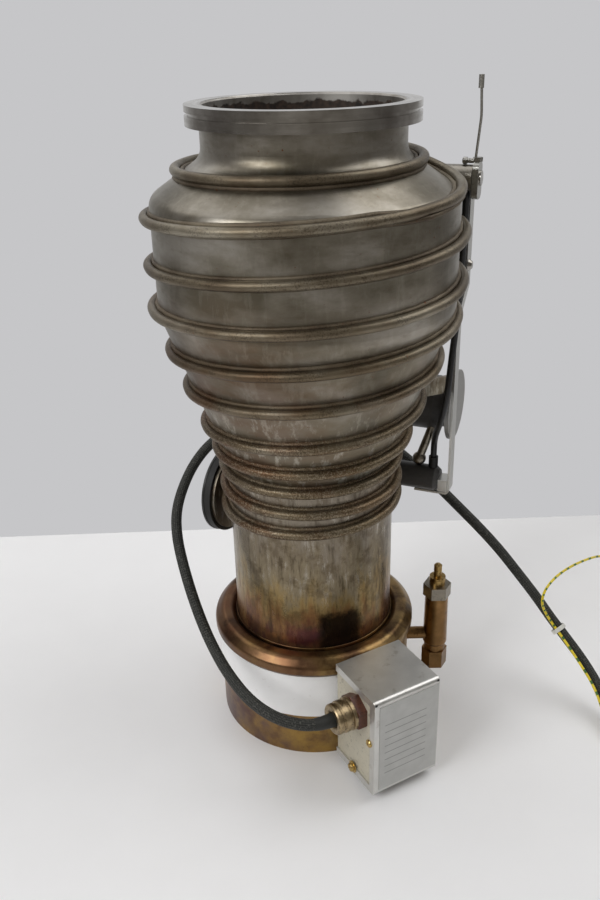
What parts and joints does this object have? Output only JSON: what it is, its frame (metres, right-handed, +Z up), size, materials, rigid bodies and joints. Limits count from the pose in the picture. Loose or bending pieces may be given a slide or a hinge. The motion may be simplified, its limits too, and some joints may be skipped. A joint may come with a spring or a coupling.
{
  "type": "oil diffusion pump",
  "caption": "Oil diffusion pump with a flanged inlet over a flared water-cooled body, lever-worked isolation valve, terminal box and fill tube.",
  "frame": {"origin": "on the pump's axis at the underside of its base", "axes": "+Z up along the pump's axis to the inlet flange, +X to the right of the pictured view, +Y to the back"},
  "size_m": [0.5505, 0.4616, 0.5726],
  "materials": {
    "turned_steel": "fine turned lines, bright",
    "satin_steel": "satin, mottled by heat and handling",
    "burnt_steel": "brushed, heat-tinted from gold to purple-brown",
    "coil_steel": "satin tube, browned lower down",
    "dark_steel": "dark oiled",
    "nickel": "dull nickel",
    "gold_sheet": "gold-brown heat-tinted sheet",
    "bronze_ring": "spun ring, bronze and violet heat tints",
    "white_band": "plain white band",
    "aluminium": "bare sheet",
    "cast_iron": "scaled",
    "wool": "mineral wool",
    "brass": "bright machined",
    "aged_brass": "aged, brown",
    "rubber": "black",
    "dark_housing": "dark grey paint",
    "black_plastic": "black",
    "cream_paint": "cream-grey paint",
    "brown_plastic": "dark red-brown",
    "ceramic": "glazed ceramic",
    "grey_plate": "plain satin plate",
    "woven_lead": "woven sleeve",
    "clear_plastic": "clear nylon",
    "earth_plastic": "green with a yellow stripe"
  },
  "bodies": {
    "pump": {"inlet_flange": "turned_steel", "upper_shell": "satin_steel", "barrel_tube": "burnt_steel", "boiler_base": "satin_steel", "valve_seat": "turned_steel", "cooling_coil": "coil_steel", "coil_inlet_nut": "brass", "coil_outlet_nut": "brass", "backing_arm": "satin_steel", "heater_plate": "cast_iron", "heater_clamp": "dark_steel", "insulation_sleeve": "wool", "jacket": "gold_sheet", "jacket_ring": "bronze_ring", "base_cover": "gold_sheet", "label_band": "white_band", "jet_lower": "aluminium", "jet_middle": "aluminium", "jet_upper": "aluminium", "jet_cap": "aluminium", "jet_tie_rod": "dark_steel", "baffle": "satin_steel", "shaft_bearing": "brass", "shaft_boss": "nickel", "side_plate": "aluminium", "stand_off": "turned_steel", "lower_lug": "satin_steel", "foot_block": "aluminium", "valve_body": "dark_housing", "valve_flange": "aluminium", "pull_cylinder": "dark_housing", "link_tube": "dark_steel", "cable_boot": "rubber", "control_cable": "black_plastic", "fill_tube": "aged_brass", "fill_nut": "dark_steel", "box_chassis": "cream_paint", "box_cover": "aluminium", "earth_screw": "brass", "gland_spacer": "brown_plastic", "gland_nut": "aged_brass", "terminal_block": "ceramic", "rating_plate": "grey_plate", "port_pipe": "satin_steel", "lead": "woven_lead", "lead_coil": "woven_lead", "lead_plug": "black_plastic", "cable_tie": "clear_plastic", "earth_wire": "earth_plastic"},
    "valve_lever": {"valve_plate": "turned_steel", "valve_seal": "rubber", "valve_arms": "satin_steel", "valve_shaft": "turned_steel", "lever_hub": "dark_steel", "lever_rod": "dark_steel"},
    "pull_piston": {"pull_piston": "turned_steel"},
    "fill_plug": {"fill_plug": "brass"},
    "drain_cap": {"drain_cap": "aged_brass"},
    "port_cover": {"port_rubber": "rubber", "port_cap": "aluminium"}
  },
  "joints": [
    {"name": "valve_lever_turn", "type": "hinge", "parent": "pump", "child": "valve_lever", "pos_m": [0.12531, 0.0432, 0.494], "axis": [-0.9272, 0.3746, 0], "range_deg": [0, 90]},
    {"name": "piston_slide", "type": "slide", "parent": "pump", "child": "pull_piston", "axis": [0.9272, -0.3746, 0], "range_m": [0, 0.0285]},
    {"name": "fill_plug_lift", "type": "slide", "parent": "pump", "child": "fill_plug", "axis": [0, 0, 1], "range_m": [0, 0.03]},
    {"name": "drain_cap_drop", "type": "slide", "parent": "pump", "child": "drain_cap", "axis": [0, 0, -1], "range_m": [0, 0.012]},
    {"name": "port_cover_pull", "type": "slide", "parent": "pump", "child": "port_cover", "axis": [-0.8829, 0.4695, 0], "range_m": [0, 0.02]}
  ],
  "couplings": [
    {"joint": "piston_slide", "follows": "valve_lever_turn", "m_per_rad": 0.0178}
  ]
}
